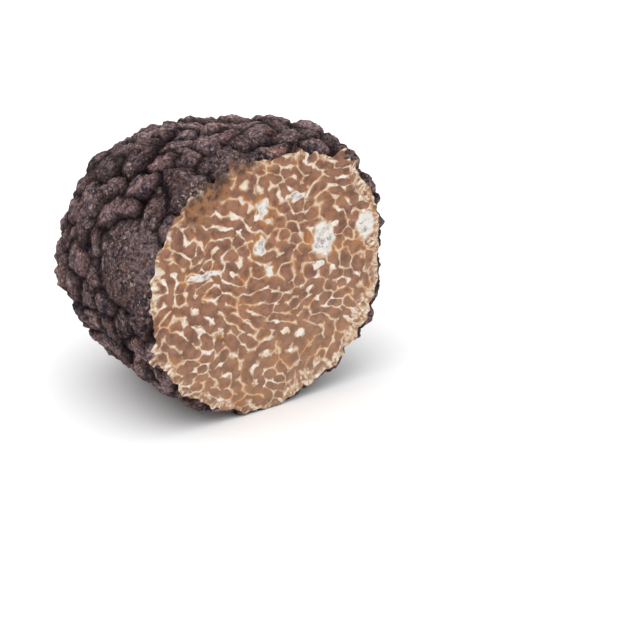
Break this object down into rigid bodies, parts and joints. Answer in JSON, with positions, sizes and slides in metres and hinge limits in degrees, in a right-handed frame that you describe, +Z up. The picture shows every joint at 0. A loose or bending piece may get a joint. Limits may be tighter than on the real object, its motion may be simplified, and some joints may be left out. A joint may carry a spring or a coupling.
{
  "type": "black truffle",
  "caption": "Black truffle with a side sliced off: warty dark rind and pale brown flesh marbled with white veins. Stands on a small flat spot.",
  "frame": {"origin": "middle of the bounding box's underside, on the surface the truffle rests on", "axes": "+Z up; the sliced face is upright and faces -Y; the width runs along X"},
  "size_m": [0.0604, 0.0476, 0.0553],
  "materials": {
    "skin": null,
    "flesh": null
  },
  "bodies": {
    "root": {"truffle": "skin"}
  },
  "joints": []
}
